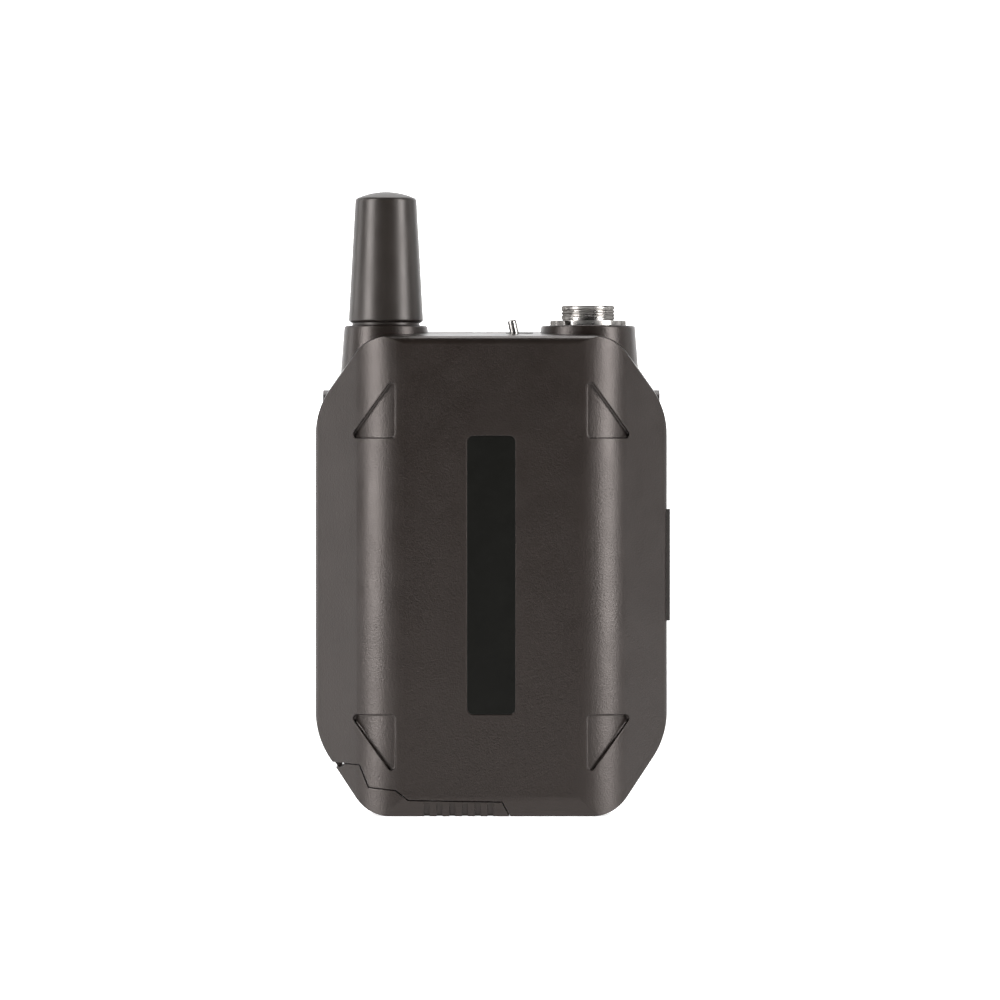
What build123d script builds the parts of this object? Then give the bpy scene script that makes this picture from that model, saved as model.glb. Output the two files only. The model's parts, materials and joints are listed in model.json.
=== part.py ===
"""Wireless bodypack transmitter: one STEP file per piece, all in one frame.

The origin is the middle of the case's bottom. X runs to the right of the front,
Y to the back and Z up. Every length is in millimetres, every angle in degrees.
"""
import os
from math import asin, cos, degrees, hypot, radians, sin

from build123d import *

os.makedirs("parts", exist_ok=True)

# Case
case_width = 65.0
case_depth = 23.0
cover_height = 88.1
crest_rise = 1.15
crest_fall = 0.6
wall = 1.5
cover_depth = 13.5
shoulder_reach = 16.44
crease_radius = 7.0
crease_angle = 11.0
shoulder_radius = 14.0
flank_angle = 47.0
edge_radius = 1.6
rear_corner = 6.5
end_cut_x = 9.9
end_cut_z = 14.4
end_round = 7.8
roll_height = 3.6
roll_depth = 1.0
top_roll_height = 1.3
top_roll_depth = 0.9
side_round = 15.0
margin = 5.0

half_width = case_width / 2
flat_half = half_width - shoulder_reach
front_y = -case_depth / 2
part_y = front_y + cover_depth
back_y = case_depth / 2
inner_back = back_y - wall
crest_z = cover_height + crest_rise
ceiling_z = cover_height - wall

# Clearances
gap = 0.3
seam = 0.15
pin_gap = 0.05

# Shoulder recesses of the cover
recess_inner_x = half_width - 15.0
recess_outer_x = half_width - 6.3
recess_low_z = cover_height - 18.7
recess_high_z = cover_height - 6.8
recess_depth = 0.8
recess_round = 0.8
recess_bed_round = 0.3
mirror_z = cover_height / 2

# Stripe let into the cover
stripe_width = 8.9
stripe_low = 18.7
stripe_high = cover_height - 18.2
stripe_depth = 0.5
stripe_round = 1.2

# Antenna and its boss
antenna_x = 13.0 - half_width
boss_y = part_y
boss_top = cover_height + 2.2
boss_draft = 4.3
antenna_boss_radius = 7.7
antenna_boss_low = boss_top - 12.3
boss_edge = 0.4
boss_roof = 3.6
neck_radius = 6.24
neck_top = boss_top + 0.6
stud_radius = 2.5
stud_low = boss_top - 14.3
stud_top = boss_top + 6.7
sheath_foot_radius = 6.9
sheath_tip_radius = 5.65
sheath_edge = 0.7
sheath_shoulder = boss_top + 23.5
sheath_top = sheath_shoulder + 1.3
sheath_bore = 4.4
sheath_bore_top = boss_top + 21.2
core_radius = 2.6
core_top = boss_top + 19.7
coil_wire = 0.35
coil_pitch = 2.0
coil_low = boss_top + 7.7
coil_height = 10.0

# Connector and its boss
connector_x = half_width - 14.6
connector_boss_radius = 8.7
connector_boss_low = boss_top - 11.3
barrel_radius = 4.95
barrel_shank = 4.7
barrel_relief = 0.3
barrel_bore = 3.8
barrel_top = boss_top + 3.7
barrel_low = boss_top - 10.3
flange_radius = 6.4
flange_thickness = 1.2
ring_radius = 7.0
ring_top = boss_top + 0.9
notch_width = 1.7
notch_depth = 1.3
notch_angle = 31.0
insulator_top = boss_top - 4.3
insulator_low = boss_top - 9.3
pin_radius = 0.5
pin_circle = 2.1
pin_top = boss_top + 2.1
pin_low = boss_top - 12.8
pin_count = 4
pin_board_radius = 5.6
pin_board_thickness = 1.0

# Status light
light_x = -2.2
lens_radius = 1.4
lens_dish = 4.6
lens_dip = 0.3
lens_low = cover_height - 3.7
lens_flange_radius = 2.2
lens_flange = 0.9
diode_size = 2.6
diode_low = cover_height - 6.9
diode_top = cover_height - 4.0
diode_front = part_y - 3.2

# Power switch
lever_x = 5.2
lever_y = part_y - 4.5
lever_z = cover_height - 3.6
lever_radius = 0.8
lever_top = cover_height + 3.2
lever_lean = 12.0
lever_hub = 1.4
lever_hub_width = 1.9
lever_pin_radius = 0.5
switch_half = 3.0
switch_front = part_y - 7.6
switch_low = cover_height - 7.5
switch_top = cover_height - 1.9
switch_slot_half = 2.1
switch_slot_depth = 1.3
switch_floor = cover_height - 5.7
lever_slot_half = 2.5
lever_slot_width = 2.4

# Battery cells (size AA) and their tray
cell_radius = 7.25
cell_length = 50.5
cell_nub_radius = 2.6
cell_nub = 1.1
cell_low = 10.2
cell_left_x = 5.65 + cell_radius - half_width
cell_right_x = cell_left_x + 2 * cell_radius + 0.8
cell_y = back_y - cell_radius - 2.35
cell_rim = 1.0
tray_left = 4.5 - half_width
tray_right = cell_right_x + cell_radius + 1.65
tray_low = 14.3
tray_roof = 1.4
tray_front = cell_y - cell_radius - 0.05
tray_window = 4.6
contact_thickness = 0.4
contact_width = 9.0
spring_wire = 0.35
spring_radius = 2.6
spring_turns = 3.0
spring_height = 2.4

# Battery door, its hinge and latch
door_right = cell_right_x + cell_radius + 0.35
door_line = [(-half_width - 1.5, 9.7), (3.7 - half_width, 9.6), (8.2 - half_width, 9.3),
             (9.9 - half_width, 5.2), (14.9 - half_width, 4.7), (17.2 - half_width, 2.9),
             (door_right - 1.4, 2.6), (door_right, 0.0)]
hinge_x = 4.1 - half_width
hinge_z = 10.4
hinge_radius = 0.8
hinge_pin_radius = 0.4
hinge_bite = 1.6
knuckle_front = part_y - 3.0
knuckle_back = part_y + 5.0
hinge_lug_front = part_y - 5.2
hinge_lug_back = part_y + 7.4
hinge_lug_top = 14.0
hinge_lug_right = 5.9 - half_width
door_solid_left = door_right - 15.9
door_wall = 1.6
post_top = 6.9
post_half = 3.2
groove_pitch = 2.336
groove_width = 1.04
groove_depth = 0.4
groove_notch = 0.35
groove_back = front_y + 4.5
groove_first = door_right - 15.13
groove_top = 2.45
groove_count = 6
latch_travel = 2.5
latch_left = door_right - 13.2
latch_right = door_right - 0.6
latch_front = part_y + 0.2
latch_back = part_y + 6.2
latch_low = 1.05
latch_high = 1.95
latch_pad_left = door_right - 11.7
latch_pad_right = door_right - 6.7
latch_pad_front = part_y + 1.2
latch_pad_back = part_y + 5.2
latch_pad_low = 0.25
latch_rib_pitch = 1.25
latch_rib_width = 0.5
latch_rib_depth = 0.3
latch_rib_count = 4
tongue_front = part_y + 1.4
tongue_back = part_y + 5.0
keeper_right = door_right + 5.1
keeper_top = 3.4

# Circuit board
board_front = part_y - 1.0
board_thickness = 1.0
board_inset = 3.2
board_left = tray_right + 1.0
board_low = 2.6
board_shelf = cell_low + cell_length + spring_height + tray_roof + 0.1
board_side_top = cover_height - 15.1
board_mid_top = cover_height - 4.1
board_mid_left = -9.4
board_mid_right = 7.6
board_back = board_front + board_thickness

# Right side: bezel, charging socket and link button
bezel_low = mirror_z - 8.35
bezel_high = bezel_low + 20.8
bezel_front = part_y - 1.2
bezel_back = part_y + 6.2
bezel_proud = 0.6
socket_z = bezel_low + 14.7
socket_width = 7.6
socket_height = 2.6
socket_skin = 0.25
socket_length = 5.2
socket_mouth = half_width + 0.4
tongue_width = 5.4
tongue_height = 0.7
button_z = bezel_low + 5.3
button_y = part_y + 2.0
button_radius = 1.5
button_flange = 2.1
button_end = half_width + bezel_proud
button_flange_x = half_width - 2.5
button_flange_thickness = 0.7
button_travel = 0.25
link_switch_half = 2.6
link_switch_left = half_width - 6.9
link_switch_body = half_width - 3.5
link_switch_back = part_y + 3.6
plunger_radius = 0.9

# Belt clip
clip_y = part_y + 4.5
clip_z = cover_height - 13.4
arm_inner = half_width - 2.5
arm_outer = half_width - 1.3
arm_radius = 3.8
arm_pocket_floor = half_width - 2.8
arm_pocket_low = clip_z - 4.4
arm_pocket_front = clip_y - 4.3
arm_wall_inner = half_width - 6.1
clip_pin_radius = 1.8
clip_pin_inner = half_width - 5.6
well_radius = 3.2
well_floor = half_width - 4.3
torsion_radius = 2.5
torsion_wire = 0.3
torsion_turns = 1.8
clip_gap = 4.6
clip_thickness = 1.2
clip_low = 20.0
clip_tongue_half = 11.0
clip_band_half_height = 3.8
clip_shoulder_low = clip_z - 14.7
clip_tip_gap = 0.5
clip_knee = 30.0
clip_flare = 3.0
clip_corner = 1.2

# Screws
screw_radius = 1.0
screw_head = 1.9
screw_head_depth = 1.3
screw_socket = 0.9
screw_length = case_depth - 11.0
screw_post = 2.6
post_x = half_width - 8.0
upper_post_z = cover_height - 20.5
inner_post_x = door_right + 5.9
screw_posts = [(-post_x, upper_post_z), (post_x, upper_post_z), (post_x, 12.0), (inner_post_x, 8.6)]
board_screws_at = [(light_x - 9.8, upper_post_z + 1.4), (inner_post_x, 48.0), (post_x + 0.5, 30.0), (inner_post_x, upper_post_z + 2.4)]
board_screw_radius = 0.8
board_screw_head = 1.6
board_screw_head_height = 0.9
board_screw_length = 5.0
board_post = 2.2


def at_x(x):
    """Plane across X at this height along X."""
    return Plane.YZ.offset(x)


def at_y(y):
    """Plane facing the front at this depth."""
    return Plane.XZ.offset(-y)


def at_z(z):
    """Level plane at this height."""
    return Plane.XY.offset(z)


def slab(plane, low, high, depth, mode=Mode.ADD, corner=0.0):
    """Extrude a rectangle given by two opposite corners on a plane."""
    size = (high[0] - low[0], high[1] - low[1])
    middle = ((high[0] + low[0]) / 2, (high[1] + low[1]) / 2)
    with BuildSketch(plane) as drawing:
        with Locations(middle):
            if corner:
                RectangleRounded(*size, corner)
            else:
                Rectangle(*size)
    extrude(drawing.sketch, amount=depth, mode=mode)


def block(x0, x1, y0, y1, z0, z1, mode=Mode.ADD, corner=0.0):
    """Extrude a box between two levels."""
    slab(at_z(z0), (x0, y0), (x1, y1), z1 - z0, mode, corner)


def rod(plane, centre, radius, depth, mode=Mode.ADD, taper=0.0):
    """Extrude a circle from a plane."""
    with BuildSketch(plane) as drawing:
        with Locations(centre):
            Circle(radius)
    extrude(drawing.sketch, amount=depth, mode=mode, taper=taper)


def prism(plane, points, depth, mode=Mode.ADD, corner=0.0):
    """Extrude a closed polygon from a plane."""
    with BuildSketch(plane) as drawing:
        with BuildLine():
            Polyline(*points, close=True)
        make_face()
        if corner:
            fillet(drawing.vertices(), corner)
    extrude(drawing.sketch, amount=depth, mode=mode)


def save(piece, name):
    """Label a piece and write its file."""
    piece.part.label = name
    export_step(piece.part, f"parts/{name}.step")


def front_section(inset):
    """Front half of the cross-section: flat middle, shoulders and flanks."""
    rise = radians(flank_angle)
    shoulder_x = flat_half + crease_radius * sin(radians(crease_angle))
    shoulder_x += shoulder_radius * (sin(rise) - sin(radians(crease_angle)))
    run = (half_width - edge_radius * (1 - sin(rise)) - shoulder_x) / cos(rise)
    with BuildSketch(Plane.XY) as section:
        with BuildLine():
            flat = Line((0, front_y + inset), (flat_half, front_y + inset))
            crease = JernArc(flat @ 1, flat % 1, crease_radius - inset, crease_angle)
            bend = flank_angle - crease_angle
            shoulder = JernArc(crease @ 1, crease % 1, shoulder_radius - inset, bend)
            flank = Line(shoulder @ 1, (shoulder @ 1) + (shoulder % 1) * run)
            edge = JernArc(flank @ 1, flank % 1, edge_radius - inset, 90 - flank_angle)
            side = Line(edge @ 1, ((edge @ 1).X, part_y))
            Line(side @ 1, (0, part_y))
            mirror(about=Plane.YZ)
        make_face()
    return section.sketch


def rear_section(inset):
    """Rear half of the cross-section: straight sides, rounded back corners."""
    side_x = half_width - inset
    with BuildSketch(Plane.XY) as section:
        with BuildLine():
            side = Line((side_x, part_y), (side_x, back_y - rear_corner))
            corner = JernArc(side @ 1, side % 1, rear_corner - inset, 90)
            Line(corner @ 1, (0, back_y - inset))
            Line((0, part_y), side @ 0)
            mirror(about=Plane.YZ)
        make_face()
    return section.sketch


def end_outline(y, height, inset, up):
    """Front view of one end of the case, open-ended far past the other end."""
    flat = half_width - end_cut_x
    far = cover_height + 2 * margin
    levels = [height - far, height - end_cut_z, height]
    if not up:
        levels = [far, end_cut_z, 0]
    path = [(-half_width, levels[0]), (-half_width, levels[1]), (-flat, levels[2]),
            (flat, levels[2]), (half_width, levels[1]), (half_width, levels[0])]
    rounds = [side_round, end_round, end_round, side_round]
    with BuildSketch(at_y(y)) as outline:
        with BuildLine():
            FilletPolyline(*path, radius=rounds)
            Line(path[-1], path[0])
        make_face()
        if inset:
            offset(amount=-inset)
    return outline.sketch


def case_form(section, y0, y1, z0, z1, inset):
    """Half of the case as a solid, drawn in by the inset on every outer side."""
    with BuildPart() as form:
        with BuildSketch(at_z(-margin)):
            add(section(inset))
        extrude(amount=crest_z + 2 * margin)
        with BuildPart(mode=Mode.PRIVATE) as top:
            with BuildSketch(at_y(y0)):
                add(end_outline(0, z0, inset, True))
            extrude(amount=hypot(y1 - y0, z1 - z0), dir=(0, y1 - y0, z1 - z0))
        with BuildPart(mode=Mode.PRIVATE) as bottom:
            with BuildSketch(at_y(y0)):
                add(end_outline(0, 0, inset, False))
            extrude(amount=y0 - y1)
        add(top.part, mode=Mode.INTERSECT)
        add(bottom.part, mode=Mode.INTERSECT)
    return form.part


rear_end = crest_z - crest_fall
plain_form = case_form(front_section, front_y, part_y, cover_height, crest_z, 0.0)
front_cavity = case_form(front_section, front_y, part_y, cover_height, crest_z, wall)
rear_form = case_form(rear_section, part_y, back_y, crest_z, rear_end, 0.0)
rear_cavity = case_form(rear_section, part_y, back_y, crest_z, rear_end, wall)


def roll(height, depth):
    """Radius and sweep of an arc tangent to the front that leaves it by the depth."""
    radius = (height ** 2 + depth ** 2) / (2 * depth)
    return radius, degrees(asin(height / radius))


# Side view of the cover with its bottom and top edges rolled off
with BuildPart() as roll_form:
    with BuildSketch(at_x(-half_width - margin)):
        with BuildLine():
            low_radius, low_turn = roll(roll_height, roll_depth)
            high_radius, high_turn = roll(top_roll_height, top_roll_depth)
            low_arc = JernArc((front_y, roll_height), (0, -1), low_radius, low_turn)
            top_start = (front_y, cover_height - top_roll_height)
            high_arc = JernArc(top_start, (0, 1), high_radius, -high_turn)
            Polyline(low_arc @ 1, (low_arc @ 1) + Vector(roll_depth, -margin), (back_y, -margin),
                     (back_y, crest_z + margin), (front_y + cover_depth / 2, crest_z + margin),
                     high_arc @ 1)
            Line(top_start, (front_y, roll_height))
        make_face()
    extrude(amount=case_width + 2 * margin)

with BuildPart() as rolled_form:
    add(plain_form)
    add(roll_form.part, mode=Mode.INTERSECT)
front_form = rolled_form.part

# Cones of the two bosses, standing through the seam of the shells
with BuildPart() as boss_cones:
    for x, radius, low in ((antenna_x, antenna_boss_radius, antenna_boss_low),
                           (connector_x, connector_boss_radius, connector_boss_low)):
        rod(at_z(boss_top), (x, boss_y), radius, low - boss_top, taper=-boss_draft)
    fillet(boss_cones.faces().filter_by(Axis.Z).group_by(Axis.Z)[-1].edges(), boss_edge)


# Region of the battery door, and the same region with its seam for the case
door_region = [(-half_width - margin, -margin)] + door_line + [(door_line[-1][0], -margin)]
seam_region = [(x + seam, z + seam) for x, z in door_region]
hinge_axis = (hinge_x, hinge_z)


def cut_hinge_room():
    """Room for the door's barrel and neck to turn in the wall of the case."""
    room_front = knuckle_front - gap
    room_depth = room_front - knuckle_back - gap
    rod(at_y(room_front), hinge_axis, hinge_radius + seam, room_depth, Mode.SUBTRACT)
    slab(at_y(room_front), (-half_width, 0), (hinge_x, hinge_z + hinge_radius + seam),
         room_depth, Mode.SUBTRACT)
    slab(at_y(room_front), (hinge_x, 0), (hinge_x + hinge_radius + seam, hinge_z),
         room_depth, Mode.SUBTRACT)


def cut_side_window():
    """Window of the right-hand bezel."""
    block(half_width - wall - margin, half_width + margin, bezel_front, bezel_back,
          bezel_low, bezel_high, Mode.SUBTRACT)


def recess_corners(side, end):
    """Corners of one shoulder recess; side and end are +1 or -1."""
    high = recess_high_z - mirror_z
    low = recess_low_z - mirror_z
    return [(side * recess_inner_x, mirror_z + end * high),
            (side * recess_inner_x, mirror_z + end * low),
            (side * recess_outer_x, mirror_z + end * low)]


with BuildPart() as recess_floor:
    with BuildSketch(at_z(-margin)):
        add(front_section(recess_depth))
    extrude(amount=crest_z + 2 * margin)

with BuildPart() as recesses:
    for side in (-1, 1):
        for end in (-1, 1):
            prism(at_y(front_y - gap), recess_corners(side, end), front_y, corner=recess_round)
    add(recess_floor.part, mode=Mode.SUBTRACT)
    bed = recesses.edges().filter_by(Axis.Y, reverse=True)
    fillet(bed.filter_by_position(Axis.Y, front_y - gap / 2, part_y), recess_bed_round)

with BuildPart() as front_posts:
    for spot in screw_posts:
        rod(at_y(part_y), spot, screw_post, part_y - front_y)
    block(-half_width, hinge_lug_right, hinge_lug_front, knuckle_front - gap,
          door_line[0][1] + seam, hinge_lug_top)
    add(front_form, mode=Mode.INTERSECT)

with BuildPart() as front_shell:
    add(front_form)
    add(front_cavity, mode=Mode.SUBTRACT)
    add(front_posts.part)
    add(recesses.part, mode=Mode.SUBTRACT)
    slab(at_y(front_y), (-stripe_width / 2, stripe_low), (stripe_width / 2, stripe_high),
         -stripe_depth, Mode.SUBTRACT, stripe_round)
    add(boss_cones.part, mode=Mode.SUBTRACT)
    for spot in screw_posts:
        rod(at_y(part_y), spot, screw_radius, screw_length + part_y - back_y, Mode.SUBTRACT)
    rod(at_z(ceiling_z - margin), (light_x, part_y), lens_radius + pin_gap, 2 * margin, Mode.SUBTRACT)
    block(lever_x - lever_slot_half, lever_x + lever_slot_half, lever_y - lever_slot_width / 2,
          lever_y + lever_slot_width / 2, ceiling_z - wall, crest_z, Mode.SUBTRACT)
    cut_side_window()
    prism(at_y(front_y - margin), seam_region, -case_depth - margin, Mode.SUBTRACT)
    cut_hinge_room()
    rod(at_y(hinge_lug_front + wall / 2), hinge_axis, hinge_pin_radius, -margin, Mode.SUBTRACT)
save(front_shell, "front_shell")

with BuildPart() as front_inlay:
    slab(at_y(front_y + stripe_depth), (-stripe_width / 2 + pin_gap, stripe_low + pin_gap),
         (stripe_width / 2 - pin_gap, stripe_high - pin_gap), stripe_depth, corner=stripe_round)
save(front_inlay, "front_inlay")

with BuildPart() as rear_fills:
    for spot in screw_posts:
        rod(at_y(part_y), spot, screw_post, part_y - back_y)
    for x, z in board_screws_at:
        rod(at_y(board_back), (x, z), board_post, board_back - back_y)
    block(-half_width, hinge_lug_right, knuckle_back + gap, inner_back,
          door_line[0][1] + seam, hinge_lug_top)
    block(door_line[-1][0] + seam, keeper_right, part_y, inner_back, 0, keeper_top)
    for side in (-1, 1):
        x0, x1 = sorted((side * arm_wall_inner, side * half_width))
        block(x0, x1, part_y, inner_back, arm_pocket_low - wall, cover_height)
    add(rear_form, mode=Mode.INTERSECT)

with BuildPart() as rear_shell:
    add(rear_form)
    add(rear_cavity, mode=Mode.SUBTRACT)
    add(rear_fills.part)
    add(boss_cones.part)
    rod(at_z(antenna_boss_low), (antenna_x, boss_y), antenna_boss_radius - wall,
        boss_top - boss_roof - antenna_boss_low, Mode.SUBTRACT)
    rod(at_z(connector_boss_low), (connector_x, boss_y), connector_boss_radius - wall,
        boss_top - boss_roof - connector_boss_low, Mode.SUBTRACT)
    rod(at_z(boss_top), (antenna_x, boss_y), stud_radius, -margin, Mode.SUBTRACT)
    rod(at_z(boss_top), (connector_x, boss_y), barrel_shank + pin_gap, -margin, Mode.SUBTRACT)
    for spot in screw_posts:
        rod(at_y(back_y), spot, screw_radius + seam, case_depth, Mode.SUBTRACT)
        rod(at_y(back_y), spot, screw_head + seam, screw_head_depth, Mode.SUBTRACT)
    for x, z in board_screws_at:
        rod(at_y(board_back), (x, z), board_screw_radius, -board_screw_length, Mode.SUBTRACT)
    rod(at_z(ceiling_z - margin), (light_x, part_y), lens_radius + pin_gap, 2 * margin, Mode.SUBTRACT)
    for side in (-1, 1):
        x0, x1 = sorted((side * arm_pocket_floor, side * (half_width + margin)))
        block(x0, x1, arm_pocket_front, back_y + margin, arm_pocket_low, crest_z + margin,
              Mode.SUBTRACT)
        rod(at_x(side * half_width), (clip_y, clip_z), clip_pin_radius,
            side * (clip_pin_inner - half_width), Mode.SUBTRACT)
        rod(at_x(side * half_width), (clip_y, clip_z), well_radius,
            side * (well_floor - half_width), Mode.SUBTRACT)
    cut_side_window()
    prism(at_y(front_y - margin), seam_region, -case_depth - 2 * margin, Mode.SUBTRACT)
    cut_hinge_room()
    rod(at_y(hinge_lug_back), hinge_axis, hinge_pin_radius, margin, Mode.SUBTRACT)
    block(0, latch_right + latch_travel + seam, tongue_front - seam, tongue_back + seam,
          latch_low - seam, latch_high + seam, Mode.SUBTRACT)
save(rear_shell, "rear_shell")

# Battery door with its latch
front_inner = front_y + door_wall
with BuildPart() as door_blank:
    add(front_form)
    add(rear_form)
    prism(at_y(front_y - margin), door_region, -case_depth - 2 * margin, Mode.INTERSECT)

with BuildPart() as door_hollow:
    add(front_cavity)
    add(rear_cavity)
    block(door_solid_left, half_width, front_y, back_y, -margin, door_line[-2][1] + seam, Mode.SUBTRACT)

cell_spots = [(cell_left_x, cell_y), (cell_right_x, cell_y)]
with BuildPart() as battery_door:
    add(door_blank.part)
    add(door_hollow.part, mode=Mode.SUBTRACT)
    for x, y in cell_spots:
        block(x - post_half, x + post_half, y - post_half, y + post_half, wall / 2, post_top)
    rod(at_y(front_y - margin), hinge_axis, hinge_bite, -case_depth - 2 * margin, Mode.SUBTRACT)
    rod(at_y(knuckle_front), hinge_axis, hinge_radius, knuckle_front - knuckle_back)
    slope = hypot(end_cut_x, end_cut_z)
    tangent = (hinge_x - hinge_radius * end_cut_z / slope, hinge_z - hinge_radius * end_cut_x / slope)
    foot = (hinge_x + hinge_radius - tangent[0]) * end_cut_z / end_cut_x
    prism(at_y(knuckle_front), [(hinge_x + hinge_radius, hinge_z), (hinge_x, hinge_z), tangent,
                                (hinge_x + hinge_radius, tangent[1] - foot)],
          knuckle_front - knuckle_back)
    rod(at_y(knuckle_front), hinge_axis, hinge_pin_radius + pin_gap,
        knuckle_front - knuckle_back, Mode.SUBTRACT)
    for step in range(groove_count):
        x = groove_first + step * groove_pitch
        prism(at_x(x - groove_width / 2),
              [(front_y - margin, groove_top), (front_y + groove_depth, groove_top),
               (front_y + roll_depth + groove_depth, groove_notch), (groove_back, groove_notch),
               (groove_back, -margin), (front_y - margin, -margin)],
              groove_width, Mode.SUBTRACT)
    block(latch_left - seam, half_width, latch_front - seam, latch_back + seam,
          latch_low - seam, latch_high + seam, Mode.SUBTRACT)
    block(latch_pad_left - seam, latch_pad_right + latch_travel + seam, latch_pad_front - seam,
          latch_pad_back + seam, -margin, latch_low, Mode.SUBTRACT)
save(battery_door, "battery_door")

with BuildPart() as door_hinge_pin:
    rod(at_y(hinge_lug_front + wall / 2), hinge_axis, hinge_pin_radius,
        hinge_lug_front + wall / 2 - hinge_lug_back)
save(door_hinge_pin, "door_hinge_pin")

with BuildPart() as door_latch:
    block(latch_left, tongue_front - margin, latch_front, latch_back, latch_low, latch_high)
    block(tongue_front - margin, latch_right, tongue_front, tongue_back, latch_low, latch_high)
    block(latch_pad_left, latch_pad_right, latch_pad_front, latch_pad_back, latch_pad_low, latch_low)
    for step in range(latch_rib_count):
        x = latch_pad_left + (step + 1) * latch_rib_pitch - latch_rib_width
        block(x, x + latch_rib_width, latch_pad_front, latch_pad_back, latch_pad_low,
              latch_pad_low + latch_rib_depth, Mode.SUBTRACT)
save(door_latch, "door_latch")


def coil(x, y, z, radius, wire, turns, height):
    """Round wire wound into a coil standing on a level plane."""
    with BuildLine() as path:
        Helix(pitch=height / turns, height=height, radius=radius, center=(x, y, z))
    with BuildSketch(Plane(origin=path.line @ 0, z_dir=path.line % 0)) as cut:
        Circle(wire)
    sweep(cut.sketch, path=path.line)


with BuildPart() as door_contact:
    block(cell_left_x - post_half, cell_right_x + post_half, cell_y - post_half, cell_y + post_half,
          post_top, post_top + contact_thickness)
    rod(at_z(post_top + contact_thickness), (cell_right_x, cell_y), cell_nub_radius,
        cell_low - cell_nub - post_top - contact_thickness)
save(door_contact, "door_contact")

with BuildPart() as door_spring:
    plate_top = post_top + contact_thickness
    coil(cell_left_x, cell_y, plate_top + spring_wire, spring_radius, spring_wire, spring_turns,
         cell_low - plate_top - 2 * spring_wire)
save(door_spring, "door_spring")

# Battery cells and the tray that holds them
with BuildPart() as battery_cells:
    rod(at_z(cell_low), cell_spots[0], cell_radius, cell_length - cell_nub)
    rod(at_z(cell_low + cell_length - cell_nub), cell_spots[0], cell_nub_radius, cell_nub)
    rod(at_z(cell_low), cell_spots[1], cell_radius, cell_length - cell_nub)
    rod(at_z(cell_low), cell_spots[1], cell_nub_radius, -cell_nub)
save(battery_cells, "battery_cells")

cell_top = cell_low + cell_length
tray_ceiling = cell_top + spring_height
tray_top = tray_ceiling + tray_roof
with BuildPart() as battery_tray:
    block(tray_left, tray_right, tray_front, inner_back, tray_low, tray_top)
    for spot in cell_spots:
        rod(at_z(tray_low), spot, cell_radius + gap, tray_ceiling - tray_low, Mode.SUBTRACT)
    block(cell_left_x, cell_right_x, cell_y - tray_window, cell_y + tray_window, tray_low,
          tray_ceiling, Mode.SUBTRACT)
    block(cell_left_x - cell_radius, cell_right_x + cell_radius, tray_front, cell_y, tray_low,
          tray_ceiling - tray_window, Mode.SUBTRACT)
    add(front_cavity + rear_cavity, mode=Mode.INTERSECT)
save(battery_tray, "battery_tray")

with BuildPart() as cell_contact:
    rod(at_z(tray_ceiling), cell_spots[0], contact_width / 2, cell_top - tray_ceiling)
save(cell_contact, "cell_contact")

with BuildPart() as cell_spring:
    rod(at_z(tray_ceiling), cell_spots[1], contact_width / 2, -contact_thickness)
    right_end = cell_top - cell_nub
    coil(*cell_spots[1], right_end + spring_wire, spring_radius, spring_wire, spring_turns,
         tray_ceiling - contact_thickness - right_end - 2 * spring_wire)
save(cell_spring, "cell_spring")

# Circuit board and what stands on it
with BuildPart() as main_board:
    board_right = half_width - board_inset
    prism(at_y(board_front),
          [(board_left, board_low), (half_width - end_cut_x - wall, board_low),
           (board_right, end_cut_z + wall), (board_right, board_side_top),
           (board_mid_right, board_side_top), (board_mid_right, board_mid_top),
           (board_mid_left, board_mid_top), (board_mid_left, board_side_top),
           (-board_right, board_side_top), (-board_right, board_shelf), (board_left, board_shelf)],
          -board_thickness)
    for spot in screw_posts:
        rod(at_y(board_front), spot, screw_post + seam, -board_thickness, Mode.SUBTRACT)
    for x, z in board_screws_at:
        rod(at_y(board_front), (x, z), board_screw_radius + seam, -board_thickness, Mode.SUBTRACT)
save(main_board, "main_board")

shield_low = cover_height - 36.1
shield_high = shield_low + 20.0
shield_left = board_left + 5.8
shield_right = shield_left + 10.0
shield_depth = 2.6
shield_skin = 0.3
with BuildPart() as radio_shield:
    slab(at_y(board_front), (shield_left, shield_low + wall), (shield_right, shield_high - wall), shield_depth)
    slab(at_y(board_front), (shield_left + shield_skin, shield_low + wall + shield_skin),
         (shield_right - shield_skin, shield_high - wall - shield_skin),
         shield_depth - shield_skin, Mode.SUBTRACT)
save(radio_shield, "radio_shield")

# Components on the long side and along the top: across, up, width, height, thickness
side_chips = [(6.4, 35.4, 8.0, 8.0, 1.2), (16.9, 37.4, 4.5, 5.0, 1.0), (5.4, 21.4, 7.0, 5.0, 1.4),
              (14.9, 19.4, 4.0, 3.0, 1.6), (3.4, 13.4, 3.0, 3.0, 1.0), (9.4, 11.9, 5.0, 4.0, 1.1),
              (8.4, 29.9, 2.0, 1.2, 0.8), (12.4, 30.4, 2.0, 1.2, 0.8)]
top_chips = [(-18.6, -22.7, 5.4, 4.2, 1.2), (-4.8, -20.6, 5.0, 5.0, 1.0), (1.2, -18.1, 2.0, 1.2, 0.8),
             (-3.8, -12.1, 3.0, 2.0, 0.8)]
chips = [(board_left + x, board_low + z, w, h, t) for x, z, w, h, t in side_chips]
chips += [(light_x + x, cover_height + z, w, h, t) for x, z, w, h, t in top_chips]
with BuildPart() as board_chips:
    for left, low, width, height, thickness in chips:
        slab(at_y(board_front), (left, low), (left + width, low + height), thickness)
save(board_chips, "board_chips")

with BuildPart() as board_screws:
    for x, z in board_screws_at:
        rod(at_y(board_front), (x, z), board_screw_head, board_screw_head_height)
        rod(at_y(board_front), (x, z), board_screw_radius, -board_screw_length)
save(board_screws, "board_screws")

with BuildPart() as status_diode:
    block(light_x - diode_size / 2, light_x + diode_size / 2, diode_front, board_front,
          diode_low, diode_top)
save(status_diode, "status_diode")

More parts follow.
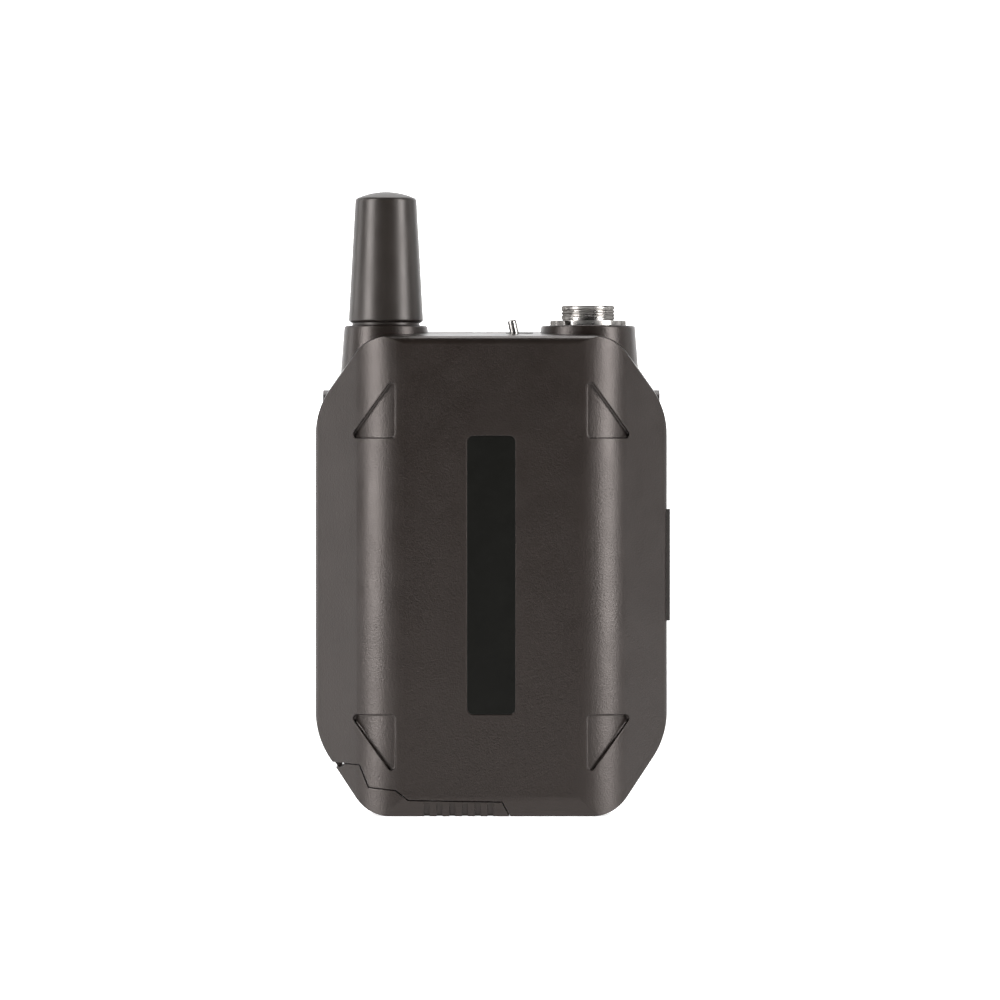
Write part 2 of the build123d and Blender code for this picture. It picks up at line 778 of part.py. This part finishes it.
with BuildPart() as status_lens:
    rod(at_z(lens_low), (light_x, part_y), lens_radius, crest_z - lens_low)
    rod(at_z(ceiling_z - pin_gap), (light_x, part_y), lens_flange_radius, -lens_flange)
    with Locations((light_x, part_y, crest_z - lens_dip + lens_dish)):
        Sphere(lens_dish, mode=Mode.SUBTRACT)
save(status_lens, "status_lens")

# Power switch
with BuildPart() as switch_body:
    block(lever_x - switch_half, lever_x + switch_half, switch_front, board_front, switch_low, switch_top)
    block(lever_x - switch_slot_half, lever_x + switch_slot_half, lever_y - switch_slot_depth,
          lever_y + switch_slot_depth, switch_floor, switch_top, Mode.SUBTRACT)
    rod(at_y(switch_front), (lever_x, lever_z), lever_pin_radius, switch_front - board_front, Mode.SUBTRACT)
save(switch_body, "switch_body")

with BuildPart() as switch_pin:
    rod(at_y(switch_front), (lever_x, lever_z), lever_pin_radius, switch_front - board_front)
save(switch_pin, "switch_pin")

lever_length = (lever_top - lever_z) / cos(radians(lever_lean))
lever_plane = Plane(origin=(lever_x, lever_y, lever_z), x_dir=(0, 1, 0),
                    z_dir=(-sin(radians(lever_lean)), 0, cos(radians(lever_lean))))
with BuildPart() as power_lever:
    rod(at_y(lever_y - lever_hub_width / 2), (lever_x, lever_z), lever_hub, -lever_hub_width)
    rod(lever_plane, (0, 0), lever_radius, lever_length)
    tips = power_lever.faces().sort_by(Axis.Z)[-1].edges()
    fillet(tips, lever_radius / 2)
    rod(at_y(lever_y - lever_hub_width), (lever_x, lever_z), lever_pin_radius + pin_gap,
        -2 * lever_hub_width, Mode.SUBTRACT)
save(power_lever, "power_lever")

# Antenna
antenna_spot = (antenna_x, boss_y)
dome_rise = sheath_top - sheath_shoulder
dome_radius = (sheath_tip_radius ** 2 + dome_rise ** 2) / (2 * dome_rise)
dome_half = asin(sheath_tip_radius / dome_radius) / 2
with BuildPart() as antenna_sheath:
    with BuildSketch(Plane.XZ.offset(-boss_y)):
        with BuildLine():
            Polyline((antenna_x, sheath_top), (antenna_x, neck_top),
                     (antenna_x + sheath_foot_radius - boss_edge, neck_top),
                     (antenna_x + sheath_foot_radius, neck_top + boss_edge),
                     (antenna_x + sheath_tip_radius, sheath_shoulder))
            ThreePointArc((antenna_x + sheath_tip_radius, sheath_shoulder),
                          (antenna_x + dome_radius * sin(dome_half),
                           sheath_top - dome_radius * (1 - cos(dome_half))),
                          (antenna_x, sheath_top))
        make_face()
    revolve(axis=Axis((antenna_x, boss_y, 0), (0, 0, 1)))
    rim = antenna_sheath.edges().filter_by_position(Axis.Z, sheath_shoulder - seam, sheath_shoulder + seam)
    fillet(rim, sheath_edge)
    rod(at_z(neck_top), antenna_spot, sheath_bore, sheath_bore_top - neck_top, Mode.SUBTRACT)
save(antenna_sheath, "antenna_sheath")

with BuildPart() as antenna_stud:
    rod(at_z(stud_low), antenna_spot, stud_radius, stud_top - stud_low)
    rod(at_z(neck_top), antenna_spot, sheath_bore, wall)
save(antenna_stud, "antenna_stud")

with BuildPart() as antenna_collar:
    rod(at_z(boss_top), antenna_spot, neck_radius, neck_top - boss_top)
    rod(at_z(boss_top), antenna_spot, stud_radius, neck_top - boss_top, Mode.SUBTRACT)
save(antenna_collar, "antenna_collar")

with BuildPart() as antenna_core:
    rod(at_z(stud_top), antenna_spot, core_radius, core_top - stud_top)
save(antenna_core, "antenna_core")

with BuildPart() as antenna_coil:
    coil(antenna_x, boss_y, coil_low, core_radius + coil_wire, coil_wire, coil_height / coil_pitch, coil_height)
save(antenna_coil, "antenna_coil")

with BuildPart() as antenna_contact:
    block(antenna_x - stud_radius, antenna_x + stud_radius, board_front - gap, part_y + stud_radius,
          stud_low - contact_thickness, stud_low)
    block(antenna_x - stud_radius, antenna_x + stud_radius, board_front - contact_thickness, board_front,
          board_side_top - stud_radius, stud_low)
save(antenna_contact, "antenna_contact")

# Connector
connector_spot = (connector_x, boss_y)
boss_under = boss_top - boss_roof
with BuildPart() as connector_barrel:
    rod(at_z(barrel_low), connector_spot, barrel_shank, barrel_top - barrel_low)
    rod(at_z(barrel_top), connector_spot, barrel_radius, ring_top + barrel_relief - barrel_top)
    rod(at_z(boss_under), connector_spot, flange_radius, -flange_thickness)
    rod(at_z(barrel_low), connector_spot, barrel_bore, barrel_top - barrel_low, Mode.SUBTRACT)
save(connector_barrel, "connector_barrel")

with BuildPart() as connector_ring:
    rod(at_z(boss_top), connector_spot, ring_radius, ring_top - boss_top)
    rod(at_z(boss_top), connector_spot, barrel_shank + pin_gap, ring_top - boss_top, Mode.SUBTRACT)
    turn = radians(notch_angle)
    for side in (-1, 1):
        reach = side * (ring_radius + notch_width / 2 - notch_depth / 2)
        with BuildSketch(at_z(boss_top)):
            with Locations(Location((connector_x - reach * sin(turn), boss_y - reach * cos(turn)), -notch_angle)):
                Rectangle(notch_width, notch_width + notch_depth)
        extrude(amount=ring_top - boss_top, mode=Mode.SUBTRACT)
save(connector_ring, "connector_ring")

with BuildPart() as pin_places:
    with BuildSketch(at_z(pin_low)):
        with Locations(connector_spot):
            with PolarLocations(pin_circle, pin_count, 45):
                Circle(pin_radius)
    extrude(amount=pin_top - pin_low)

with BuildPart() as connector_insulator:
    rod(at_z(insulator_low), connector_spot, barrel_bore, insulator_top - insulator_low)
    add(pin_places.part, mode=Mode.SUBTRACT)
save(connector_insulator, "connector_insulator")

with BuildPart() as connector_pins:
    add(pin_places.part)
save(connector_pins, "connector_pins")

with BuildPart() as pin_board:
    rod(at_z(insulator_low - wall), connector_spot, pin_board_radius, -pin_board_thickness)
    add(pin_places.part, mode=Mode.SUBTRACT)
save(pin_board, "pin_board")

# Right-hand bezel, charging socket and link button
with BuildPart() as bezel_core:
    with BuildSketch(at_z(bezel_low + pin_gap)) as strip:
        add(front_section(0.0))
        add(rear_section(0.0))
        offset(amount=bezel_proud)
    extrude(amount=bezel_high - bezel_low - 2 * pin_gap)

with BuildPart() as port_bezel:
    block(half_width - wall - margin, half_width + margin, bezel_front + pin_gap, bezel_back - pin_gap,
          bezel_low + pin_gap, bezel_high - pin_gap)
    add(bezel_core.part, mode=Mode.INTERSECT)
    add(front_cavity, mode=Mode.SUBTRACT)
    add(rear_cavity, mode=Mode.SUBTRACT)
    block(half_width - margin, half_width + margin, board_back, board_back + socket_height,
          socket_z - socket_width / 2, socket_z + socket_width / 2, Mode.SUBTRACT)
    rod(at_x(half_width - margin), (button_y, button_z), button_radius + seam, 2 * margin, Mode.SUBTRACT)
save(port_bezel, "port_bezel")

with BuildPart() as socket_shell:
    socket_low = socket_z - socket_width / 2
    socket_high = socket_z + socket_width / 2
    socket_back = board_back + socket_height
    block(socket_mouth - socket_length, socket_mouth, board_back, socket_back, socket_low, socket_high)
    block(socket_mouth - socket_length + socket_skin, socket_mouth, board_back + socket_skin,
          socket_back - socket_skin, socket_low + socket_skin, socket_high - socket_skin, Mode.SUBTRACT)
save(socket_shell, "socket_shell")

with BuildPart() as socket_tongue:
    middle = board_back + socket_height / 2
    block(socket_mouth - socket_length + socket_skin, socket_mouth - wall / 2, middle - tongue_height / 2,
          middle + tongue_height / 2, socket_z - tongue_width / 2, socket_z + tongue_width / 2)
save(socket_tongue, "socket_tongue")

with BuildPart() as link_button:
    rod(at_x(button_flange_x), (button_y, button_z), button_radius, button_end - button_flange_x)
    rod(at_x(button_flange_x), (button_y, button_z), button_flange, button_flange_thickness)
save(link_button, "link_button")

with BuildPart() as link_switch:
    block(link_switch_left, link_switch_body, board_back, link_switch_back, button_z - link_switch_half,
          button_z + link_switch_half)
    rod(at_x(link_switch_body), (button_y, button_z), plunger_radius,
        button_flange_x - button_travel - pin_gap - link_switch_body)
save(link_switch, "link_switch")

# Belt clip, turning on two pins at the sides
clip_inner_y = back_y + clip_gap
clip_outer_y = clip_inner_y + clip_thickness
tip_y = back_y + clip_tip_gap
with BuildPart() as belt_clip:
    for side in (-1, 1):
        outer = at_x(side * arm_outer)
        thick = side * (arm_inner - arm_outer)
        rod(outer, (clip_y, clip_z), arm_radius, thick)
        slab(outer, (clip_y, clip_z - arm_radius), (clip_outer_y, clip_z + arm_radius), thick)
    block(-arm_outer, arm_outer, clip_inner_y, clip_outer_y, clip_z - arm_radius, clip_z + arm_radius)
    prism(at_y(clip_inner_y), [(-arm_outer, clip_z - arm_radius), (arm_outer, clip_z - arm_radius),
                               (clip_tongue_half, clip_shoulder_low), (clip_tongue_half, clip_knee),
                               (-clip_tongue_half, clip_knee), (-clip_tongue_half, clip_shoulder_low)],
          -clip_thickness)
    prism(at_x(-clip_tongue_half), [(clip_inner_y, clip_knee), (clip_outer_y, clip_knee),
                                    (tip_y + clip_thickness, clip_low + clip_flare),
                                    (tip_y + clip_flare, clip_low), (tip_y + clip_flare - clip_thickness, clip_low),
                                    (tip_y, clip_low + clip_flare)],
          2 * clip_tongue_half)
    for side in (-1, 1):
        rod(at_x(side * arm_outer), (clip_y, clip_z), clip_pin_radius + pin_gap,
            side * (arm_inner - arm_outer), Mode.SUBTRACT)
    rear = belt_clip.edges().filter_by(Axis.Z).group_by(Axis.Y)[-1].sort_by(Axis.X)
    fillet([rear[0], rear[-1]], clip_corner)
save(belt_clip, "belt_clip")

with BuildPart() as clip_pins:
    for side in (-1, 1):
        rod(at_x(side * arm_outer), (clip_y, clip_z), clip_pin_radius, side * (clip_pin_inner - arm_outer))
save(clip_pins, "clip_pins")

with BuildPart() as clip_springs:
    for side in (-1, 1):
        start = side * (well_floor + torsion_wire)
        with BuildLine() as wound:
            Helix(pitch=(arm_pocket_floor - well_floor - 2 * torsion_wire) / torsion_turns,
                  height=arm_pocket_floor - well_floor - 2 * torsion_wire, radius=torsion_radius,
                  center=(start, clip_y, clip_z), direction=(side, 0, 0))
        with BuildSketch(Plane(origin=wound.line @ 0, z_dir=wound.line % 0)):
            Circle(torsion_wire)
        sweep(path=wound.line)
save(clip_springs, "clip_springs")

with BuildPart() as case_screws:
    for spot in screw_posts:
        head = at_y(back_y - seam)
        rod(head, spot, screw_head, screw_head_depth - seam)
        rod(head, spot, screw_radius, screw_length - seam)
        with BuildSketch(head):
            with Locations(spot):
                RegularPolygon(screw_socket, 6)
        extrude(amount=screw_head_depth / 2, mode=Mode.SUBTRACT)
save(case_screws, "case_screws")
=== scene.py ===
"""Wireless bodypack transmitter: finishes, fine pieces, studio and camera."""
import json
from math import cos, pi, radians, sin

import bpy
import numpy as np
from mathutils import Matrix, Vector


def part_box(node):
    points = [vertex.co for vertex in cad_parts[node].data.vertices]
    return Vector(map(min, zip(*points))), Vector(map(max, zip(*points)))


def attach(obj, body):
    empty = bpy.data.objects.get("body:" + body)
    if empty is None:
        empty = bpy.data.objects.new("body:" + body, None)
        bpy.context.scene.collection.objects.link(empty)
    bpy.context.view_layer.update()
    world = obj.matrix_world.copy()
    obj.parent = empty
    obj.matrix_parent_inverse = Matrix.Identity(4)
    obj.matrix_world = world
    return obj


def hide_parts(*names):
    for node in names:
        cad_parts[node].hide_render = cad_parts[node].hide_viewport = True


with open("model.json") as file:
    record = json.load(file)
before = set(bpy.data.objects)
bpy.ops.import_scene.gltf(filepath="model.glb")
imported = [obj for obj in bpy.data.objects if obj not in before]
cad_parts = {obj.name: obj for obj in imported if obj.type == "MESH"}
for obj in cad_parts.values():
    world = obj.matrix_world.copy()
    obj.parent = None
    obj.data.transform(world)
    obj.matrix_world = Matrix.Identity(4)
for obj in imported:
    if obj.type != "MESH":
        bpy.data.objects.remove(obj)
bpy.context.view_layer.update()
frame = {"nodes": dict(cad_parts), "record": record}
nodes = frame["nodes"]
MM = 0.001
WHITE = (1, 1, 1, 1)


# ---------------------------------------------------------------- finishes

class Finish:
    """A material built round one Principled shader, on Object coordinates."""

    def __init__(self, name, base, roughness, metallic=0.0):
        self.material = bpy.data.materials.new(name)
        self.material.use_nodes = True
        self.tree = self.material.node_tree
        self.shader = self.tree.nodes["Principled BSDF"]
        self.shader.inputs["Base Color"].default_value = (*base, 1)
        self.shader.inputs["Roughness"].default_value = roughness
        self.shader.inputs["Metallic"].default_value = metallic
        self.base = base
        self.roughness = roughness
        self.place = self.node("ShaderNodeTexCoord").outputs["Object"]
        self.normal = None

    def node(self, kind, **settings):
        made = self.tree.nodes.new(kind)
        for key, value in settings.items():
            setattr(made, key, value)
        return made

    def join(self, out, into):
        self.tree.links.new(out, into)
        return self

    def noise(self, size_mm, detail=3.0, stretch=(1, 1, 1)):
        """Cloudy pattern with features of about this size."""
        stretched = self.node("ShaderNodeMapping")
        stretched.inputs["Scale"].default_value = stretch
        grain = self.node("ShaderNodeTexNoise")
        grain.inputs["Scale"].default_value = 1 / (size_mm * MM)
        grain.inputs["Detail"].default_value = detail
        self.join(self.place, stretched.inputs["Vector"])
        self.join(stretched.outputs["Vector"], grain.inputs["Vector"])
        return grain.outputs["Fac"]

    def spread(self, value, low, high, frm=(0.3, 0.7)):
        """Stretches a pattern to run between two values."""
        span = self.node("ShaderNodeMapRange")
        span.inputs["From Min"].default_value = frm[0]
        span.inputs["From Max"].default_value = frm[1]
        span.inputs["To Min"].default_value = low
        span.inputs["To Max"].default_value = high
        self.join(value, span.inputs["Value"])
        return span.outputs["Result"]

    def blend(self, value, first, second):
        """Colour that runs from the first to the second as the value goes 0 to 1."""
        mix = self.node("ShaderNodeMix", data_type="RGBA")
        mix.inputs["A"].default_value = (*first, 1)
        mix.inputs["B"].default_value = (*second, 1)
        self.join(value, mix.inputs["Factor"])
        return mix.outputs["Result"]

    def tint(self, size_mm, amount):
        """Base colour that drifts a little lighter and darker."""
        dark = tuple(c * (1 - amount) for c in self.base)
        light = tuple(min(c * (1 + amount), 1) for c in self.base)
        fade = self.spread(self.noise(size_mm, 4), 0, 1)
        return self.join(self.blend(fade, dark, light), self.shader.inputs["Base Color"])

    def wear(self, size_mm, amount):
        """Roughness that drifts, as handling leaves it."""
        smooth, dull = self.roughness - amount, self.roughness + amount
        rub = self.spread(self.noise(size_mm, 5), smooth, dull)
        return self.join(rub, self.shader.inputs["Roughness"])

    def soft_edges(self, radius_mm):
        """Catches the light on edges as if they were rounded."""
        round_off = self.node("ShaderNodeBevel", samples=4)
        round_off.inputs["Radius"].default_value = radius_mm * MM
        self.normal = round_off.outputs["Normal"]
        return self

    def bump(self, pattern, depth_mm, strength=1.0):
        """Raises the surface by a pattern."""
        raised = self.node("ShaderNodeBump")
        raised.inputs["Distance"].default_value = depth_mm * MM
        raised.inputs["Strength"].default_value = strength
        self.join(pattern, raised.inputs["Height"])
        if self.normal:
            self.join(self.normal, raised.inputs["Normal"])
        self.normal = raised.outputs["Normal"]
        return self

    def done(self):
        """Joins the gathered normal to the shader and gives the material."""
        if self.normal:
            self.join(self.normal, self.shader.inputs["Normal"])
        return self.material


def coated(name, base, roughness, grain_mm, depth_mm):
    """Powder coat: pebbled grain in two sizes, drifting shade and rubbed patches."""
    edge_mm, coarser = 0.25, 2.2
    paint = Finish(name, base, roughness).soft_edges(edge_mm)
    paint.shader.inputs["Specular Tint"].default_value = (1.0, 0.9, 0.86, 1)
    paint.tint(9, 0.08).wear(6, 0.035)
    paint.bump(paint.noise(grain_mm, 2), depth_mm, 0.55)
    paint.bump(paint.noise(grain_mm * coarser, 2), depth_mm, 0.2)
    return paint.done()


def moulded(name, base, roughness, edge_mm=0.15):
    """Moulded plastic with a light spark-eroded grain."""
    plastic = Finish(name, base, roughness).soft_edges(edge_mm)
    plastic.shader.inputs["Specular Tint"].default_value = (1.0, 0.93, 0.9, 1)
    plastic.tint(7, 0.07).wear(4, 0.04)
    grain_mm, depth_mm = 0.22, 0.008
    plastic.bump(plastic.noise(grain_mm, 2), depth_mm, 0.5)
    return plastic.done()


def polished(name, base, roughness, brushed=(1, 1, 1), grain_mm=0.5, edge_tint=1.0,
             depth_mm=0.004):
    """Bare or plated metal with fine tool marks; a low edge tint dims its rims."""
    edge_mm = 0.08
    metal = Finish(name, base, roughness, metallic=1.0).soft_edges(edge_mm)
    metal.shader.inputs["Specular Tint"].default_value = (edge_tint, edge_tint, edge_tint, 1)
    metal.tint(3, 0.06).wear(2, roughness * 0.25)
    metal.bump(metal.noise(grain_mm, 3, brushed), depth_mm, 0.4)
    return metal.done()


def cell_wrap():
    """Printed film round a steel can: bright ends, a dark body and a copper band."""
    film, band, can = (0.02, 0.022, 0.03), (0.42, 0.30, 0.16), (0.55, 0.55, 0.56)
    wrap = Finish("cell_wrap", film, 0.22)
    low, high = (c.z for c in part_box("battery_cells"))
    split = wrap.node("ShaderNodeSeparateXYZ")
    wrap.join(wrap.place, split.inputs["Vector"])
    ramp = wrap.node("ShaderNodeValToRGB")
    ramp.color_ramp.interpolation = "CONSTANT"
    marks = ((0.0, can), (0.035, film), (0.74, band), (0.955, can))
    while len(ramp.color_ramp.elements) < len(marks):
        ramp.color_ramp.elements.new(0.5)
    for element, (place, colour) in zip(ramp.color_ramp.elements, marks):
        element.position = place
        element.color = (*colour, 1)
    level = wrap.spread(split.outputs["Z"], 0, 1, (low, high))
    wrap.join(level, ramp.inputs["Fac"])
    wrap.join(ramp.outputs["Color"], wrap.shader.inputs["Base Color"])
    wrap.wear(3, 0.05)
    return wrap.done()


coat = coated("case_coat", (0.0078, 0.0054, 0.0043), 0.33, 0.30, 0.06)
stripe = Finish("stripe_black", (0.0035, 0.0035, 0.0028), 0.36)
stripe.soft_edges(0.1).tint(5, 0.1).wear(3, 0.03)
stripe.shader.inputs["Specular IOR Level"].default_value = 0.12
stripe = stripe.bump(stripe.noise(0.4, 2), 0.006, 0.4).done()
antenna_coat = moulded("antenna_black", (0.0125, 0.0100, 0.0085), 0.36, 0.35)
nickel = polished("nickel", (0.36, 0.345, 0.33), 0.28, edge_tint=0.2, depth_mm=0.0008)
steel = polished("steel", (0.56, 0.56, 0.57), 0.30, (1, 1, 14), 1.0)
wire = polished("spring_steel", (0.52, 0.52, 0.54), 0.24)
copper = polished("copper", (0.78, 0.42, 0.25), 0.28)
gold = polished("gold", (0.86, 0.66, 0.30), 0.20)
black_plastic = moulded("black_plastic", (0.012, 0.011, 0.010), 0.45)
insulator = moulded("insulator", (0.016, 0.016, 0.017), 0.45, 0.08)
grey_plastic = moulded("tray_grey", (0.075, 0.075, 0.08), 0.5)
button_plastic = moulded("button_grey", (0.10, 0.10, 0.105), 0.4)
latch_plastic = moulded("latch_grey", (0.055, 0.054, 0.055), 0.45)
clip_coat = coated("clip_black", (0.007, 0.006, 0.0055), 0.36, 0.25, 0.02)
screw_coat = polished("screw_black", (0.09, 0.088, 0.085), 0.34)
chip = moulded("chip_black", (0.02, 0.02, 0.022), 0.5, 0.08)
board = Finish("board_green", (0.010, 0.085, 0.035), 0.28).tint(2.5, 0.25).wear(2, 0.06)
board = board.bump(board.noise(0.7, 1), 0.02, 0.4).done()
lens = Finish("lens_clear", (0.72, 0.76, 0.72), 0.12).tint(2, 0.04)
lens.shader.inputs["Transmission Weight"].default_value = 0.6
lens = lens.done()
diode = Finish("diode", (0.82, 0.80, 0.62), 0.3).tint(1, 0.06).wear(1, 0.05).done()

worn_by_slot = {
    "case_coat": coat, "stripe_black": stripe, "antenna_black": antenna_coat, "nickel": nickel,
    "steel": steel, "black_plastic": black_plastic, "insulator": insulator, "gold": gold,
    "spring_steel": wire, "clip_black": clip_coat, "board_green": board, "chip_black": chip,
    "cell_wrap": cell_wrap(), "tray_grey": grey_plastic, "lens_clear": lens, "diode": diode,
    "button_grey": button_plastic, "screw_black": screw_coat, "copper": copper,
    "latch_grey": latch_plastic,
}
slot_of = {part["node"]: part["material_slot"] for part in frame["record"]["subparts"]}
for name, node in nodes.items():
    for place in node.material_slots:
        place.material = worn_by_slot[slot_of[name]]


# ---------------------------------------------------------------- fine pieces

def surface(name, points, material, body, replaced):
    """Smooth mesh from a grid of points that closes both ways, rows along v and
    columns round u."""
    rows, columns = points.shape[:2]
    index = np.arange(rows * columns).reshape(rows, columns)
    below = np.roll(index, -1, axis=0)
    across, below_across = np.roll(index, -1, axis=1), np.roll(below, -1, axis=1)
    faces = np.stack([index, across, below_across, below], axis=-1).reshape(-1, 4)
    mesh = bpy.data.meshes.new(name)
    mesh.from_pydata(points.reshape(-1, 3).tolist(), [], faces.tolist())
    mesh.shade_smooth()
    mesh.materials.append(material)
    made = bpy.data.objects.new(name, mesh)
    bpy.context.scene.collection.objects.link(made)
    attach(made, body)
    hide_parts(*replaced)


def along(corners, spacing):
    """Points at about even spacing along a closed line of corners."""
    loop = np.vstack([corners, corners[:1]])
    pieces = []
    for start, end in zip(loop[:-1], loop[1:]):
        count = max(int(np.linalg.norm(end - start) / spacing), 1)
        pieces.append(start + (end - start) * (np.arange(count) / count)[:, None])
    return np.vstack(pieces)


def threaded_barrel():
    """Closed ring profile turned about the socket's axis. On the outer wall above
    the ring nut the radius dips by a cosine of height over pitch less the turn,
    which winds the grooves into one helix; a ramp fades them out at both ends."""
    low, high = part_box("connector_barrel")
    ring_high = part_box("connector_ring")[1]
    x, y = (low.x + high.x) / 2, (low.y + high.y) / 2
    outer, shank, bore = 4.95 * MM, 4.7 * MM, 3.8 * MM
    thread_low = ring_high.z + 0.3 * MM
    flange = (high.x - low.x) / 2
    flange_low, flange_top = 85.5 * MM, 86.7 * MM
    rim = 0.25 * MM
    pitch, depth = 0.65 * MM, 0.24 * MM
    thread_top = high.z - rim * 1.5
    run_out = 0.4 * pitch
    point_spacing, wall_tolerance = 0.07 * MM, 0.01 * MM
    turn_steps = 144

    corners = np.array([
        (bore, low.z), (shank, low.z), (shank, flange_low), (flange, flange_low),
        (flange, flange_top), (shank, flange_top), (shank, thread_low),
        (outer, thread_low), (outer, high.z - rim), (outer - rim, high.z),
        (bore + rim, high.z), (bore, high.z - rim),
    ])
    profile = along(corners, point_spacing)
    turn = np.linspace(0, 2 * pi, turn_steps, endpoint=False)
    radius = np.repeat(profile[:, :1], turn_steps, axis=1)
    height = np.repeat(profile[:, 1:], turn_steps, axis=1)
    wave = 0.5 - 0.5 * np.cos(2 * pi * (height / pitch - turn / (2 * pi)))
    fade_in = np.clip((height - thread_low) / pitch, 0, 1)
    fade_out = np.clip((thread_top - height) / run_out, 0, 1)
    on_wall = np.abs(radius - outer) < wall_tolerance
    radius = radius - np.where(on_wall, depth * wave * (fade_in * fade_out), 0)
    points = np.stack([x + radius * np.cos(turn), y + radius * np.sin(turn), height], axis=-1)
    surface("threaded_barrel", points, nickel, "case", ["connector_barrel"])


threaded_barrel()


# ---------------------------------------------------------------- studio

STAGE_HALF, STAGE_NEAR, STAGE_FAR, STAGE_TOP = 1.6, -0.75, 1.3, 1.8
STRIP_DISTANCE, STRIP_HEIGHT, STRIP_LENGTH = 0.60, 0.10, 1.1
AIR_GLOW = 0.01
VIEW_WIDTH = 0.18484
CAMERA_REACH, CAMERA_CLIP = 1.5, 20
CAMERA_X, CAMERA_Z = 0.00161, 0.05808


def glowing(name, shade, roughness, glow):
    """Pale matt sheet that also gives off a little light."""
    made = bpy.data.materials.new(name)
    made.use_nodes = True
    inputs = made.node_tree.nodes["Principled BSDF"].inputs
    inputs["Base Color"].default_value = (shade, shade, shade, 1)
    inputs["Roughness"].default_value = roughness
    inputs["Emission Color"].default_value = WHITE
    inputs["Emission Strength"].default_value = glow
    return made


def sheet_of(name, corners, material):
    """Flat four-cornered stage piece."""
    mesh = bpy.data.meshes.new(name)
    mesh.from_pydata(corners, [], [(0, 1, 2, 3)])
    mesh.materials.append(material)
    made = bpy.data.objects.new(name, mesh)
    bpy.context.scene.collection.objects.link(made)


def hold(name, data, place, turned=(0, 0, 0)):
    """Puts a light or camera in the scene."""
    holder = bpy.data.objects.new(name, data)
    holder.location = place
    holder.rotation_euler = turned
    bpy.context.scene.collection.objects.link(holder)
    return holder


def area_light(name, width, length, watts):
    lamp = bpy.data.lights.new(name, "AREA")
    lamp.shape = "RECTANGLE"
    lamp.size, lamp.size_y, lamp.energy = width, length, watts
    return lamp


def strip_light(name, azimuth, width, watts):
    """Upright soft box facing the object; azimuth runs from the front to the right."""
    angle = radians(azimuth)
    place = (STRIP_DISTANCE * sin(angle), -STRIP_DISTANCE * cos(angle), STRIP_HEIGHT)
    hold(name, area_light(name, width, STRIP_LENGTH, watts), place, (radians(90), 0, angle))


sheet_of("floor", [(-STAGE_HALF, STAGE_NEAR, 0), (STAGE_HALF, STAGE_NEAR, 0),
                   (STAGE_HALF, STAGE_FAR, 0), (-STAGE_HALF, STAGE_FAR, 0)],
         glowing("studio_paper", 0.93, 0.9, 0.6))
sheet_of("backdrop", [(-STAGE_HALF, STAGE_FAR, 0), (STAGE_HALF, STAGE_FAR, 0),
                      (STAGE_HALF, STAGE_FAR, STAGE_TOP), (-STAGE_HALF, STAGE_FAR, STAGE_TOP)],
         glowing("backdrop_white", 0.9, 0.5, 1.1))

strip_light("left_strip", -59, 0.22, 8.9)
strip_light("right_strip", 59, 0.22, 9.2)
strip_light("left_rim", -108, 0.2, 2.2)
strip_light("right_rim", 108, 0.2, 0.9)
hold("top_box", area_light("top_box", 0.5, 0.4, 3.0), (0, 0.35, 0.8))

world = bpy.data.worlds.new("studio_air")
world.use_nodes = True
world.node_tree.nodes["Background"].inputs["Color"].default_value = WHITE
world.node_tree.nodes["Background"].inputs["Strength"].default_value = AIR_GLOW
bpy.context.scene.world = world
bpy.context.scene.view_settings.view_transform = "Standard"

# Long lens, level with the middle of the whole object
camera = bpy.data.cameras.new("camera")
camera.sensor_width = 36
camera.lens = camera.sensor_width * CAMERA_REACH / VIEW_WIDTH
camera.clip_end = CAMERA_CLIP
bpy.context.scene.camera = hold("camera", camera, (CAMERA_X, -CAMERA_REACH, CAMERA_Z),
                                (radians(90), 0, 0))
